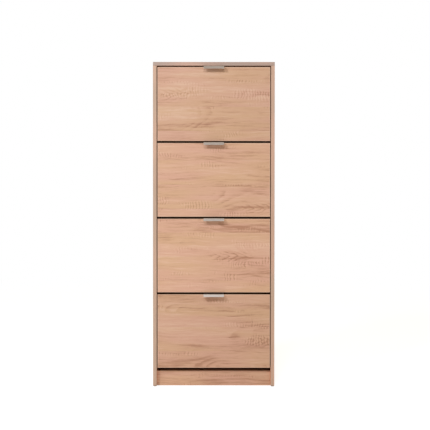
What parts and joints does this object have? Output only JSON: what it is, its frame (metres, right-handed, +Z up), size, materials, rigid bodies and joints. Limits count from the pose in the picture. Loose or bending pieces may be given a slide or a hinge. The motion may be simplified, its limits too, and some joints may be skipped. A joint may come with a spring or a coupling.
{
  "type": "shoe cabinet",
  "caption": "Tall narrow shoe cabinet in light oak finish with tilting flaps, each carrying a V-shaped shoe bin, small metal edge pulls and a recessed plinth.",
  "frame": {"origin": "on the floor, at the middle of the whole object's width and depth", "axes": "+Z up, +Y towards the wall behind the cabinet, +X to the right for a person facing the flaps"},
  "size_m": [0.495, 0.26, 1.322],
  "materials": {
    "flap_board": "light oak melamine foil, horizontal grain, matt",
    "side_board": "light oak melamine foil, upright grain, matt",
    "top_board": "light oak melamine foil, grain across, matt",
    "plinth_board": "light oak melamine foil, horizontal grain, matt",
    "inner_board": "light oak melamine foil, matt",
    "bin_board": "thin hardboard with printed oak face",
    "hardboard": "brown hardboard back, smooth",
    "beech_dowel": "fluted beech",
    "handle_metal": "satin brushed aluminium",
    "pin_steel": "turned steel",
    "screw_steel": "zinc plated",
    "nail_steel": "bright steel",
    "bracket_steel": "zinc plated",
    "cam_zinc": "die-cast zinc",
    "fan_plastic": "black moulded plastic, fine texture",
    "strip_plastic": "beige extruded strip",
    "glide_plastic": "grey moulded glide"
  },
  "bodies": {
    "carcass": {"side_panel_left": "side_board", "side_panel_right": "side_board", "top_panel": "top_board", "bottom_panel": "inner_board", "plinth": "plinth_board", "rear_rail_top": "inner_board", "back_panel_upper": "hardboard", "back_panel_lower": "hardboard", "back_joint_strip": "strip_plastic", "back_nails": "nail_steel", "cam_locks": "cam_zinc", "cam_bolts": "screw_steel", "dowels": "beech_dowel", "plinth_brackets": "bracket_steel", "plinth_bracket_screws": "screw_steel", "glides": "glide_plastic", "pivot_plates_left": "fan_plastic", "pivot_plates_right": "fan_plastic", "pivot_plate_screws": "screw_steel"},
    "flap_1": {"flap_1_front": "flap_board", "flap_1_handle": "handle_metal", "flap_1_handle_screws": "screw_steel", "flap_1_fan_left": "fan_plastic", "flap_1_fan_right": "fan_plastic", "flap_1_fan_screws": "screw_steel", "flap_1_toe_board": "bin_board", "flap_1_shoe_board": "bin_board", "flap_1_pivot_pins": "pin_steel"},
    "flap_2": {"flap_2_front": "flap_board", "flap_2_handle": "handle_metal", "flap_2_handle_screws": "screw_steel", "flap_2_fan_left": "fan_plastic", "flap_2_fan_right": "fan_plastic", "flap_2_fan_screws": "screw_steel", "flap_2_toe_board": "bin_board", "flap_2_shoe_board": "bin_board", "flap_2_pivot_pins": "pin_steel"},
    "flap_3": {"flap_3_front": "flap_board", "flap_3_handle": "handle_metal", "flap_3_handle_screws": "screw_steel", "flap_3_fan_left": "fan_plastic", "flap_3_fan_right": "fan_plastic", "flap_3_fan_screws": "screw_steel", "flap_3_toe_board": "bin_board", "flap_3_shoe_board": "bin_board", "flap_3_pivot_pins": "pin_steel"},
    "flap_4": {"flap_4_front": "flap_board", "flap_4_handle": "handle_metal", "flap_4_handle_screws": "screw_steel", "flap_4_fan_left": "fan_plastic", "flap_4_fan_right": "fan_plastic", "flap_4_fan_screws": "screw_steel", "flap_4_toe_board": "bin_board", "flap_4_shoe_board": "bin_board", "flap_4_pivot_pins": "pin_steel"}
  },
  "joints": [
    {"name": "flap_1_tilt", "type": "hinge", "parent": "carcass", "child": "flap_1", "pos_m": [0, -0.095, 1.0461], "axis": [1, 0, 0], "range_deg": [0, 45]},
    {"name": "flap_2_tilt", "type": "hinge", "parent": "carcass", "child": "flap_2", "pos_m": [0, -0.095, 0.7379], "axis": [1, 0, 0], "range_deg": [0, 45]},
    {"name": "flap_3_tilt", "type": "hinge", "parent": "carcass", "child": "flap_3", "pos_m": [0, -0.095, 0.4297], "axis": [1, 0, 0], "range_deg": [0, 45]},
    {"name": "flap_4_tilt", "type": "hinge", "parent": "carcass", "child": "flap_4", "pos_m": [0, -0.095, 0.1215], "axis": [1, 0, 0], "range_deg": [0, 45]}
  ]
}
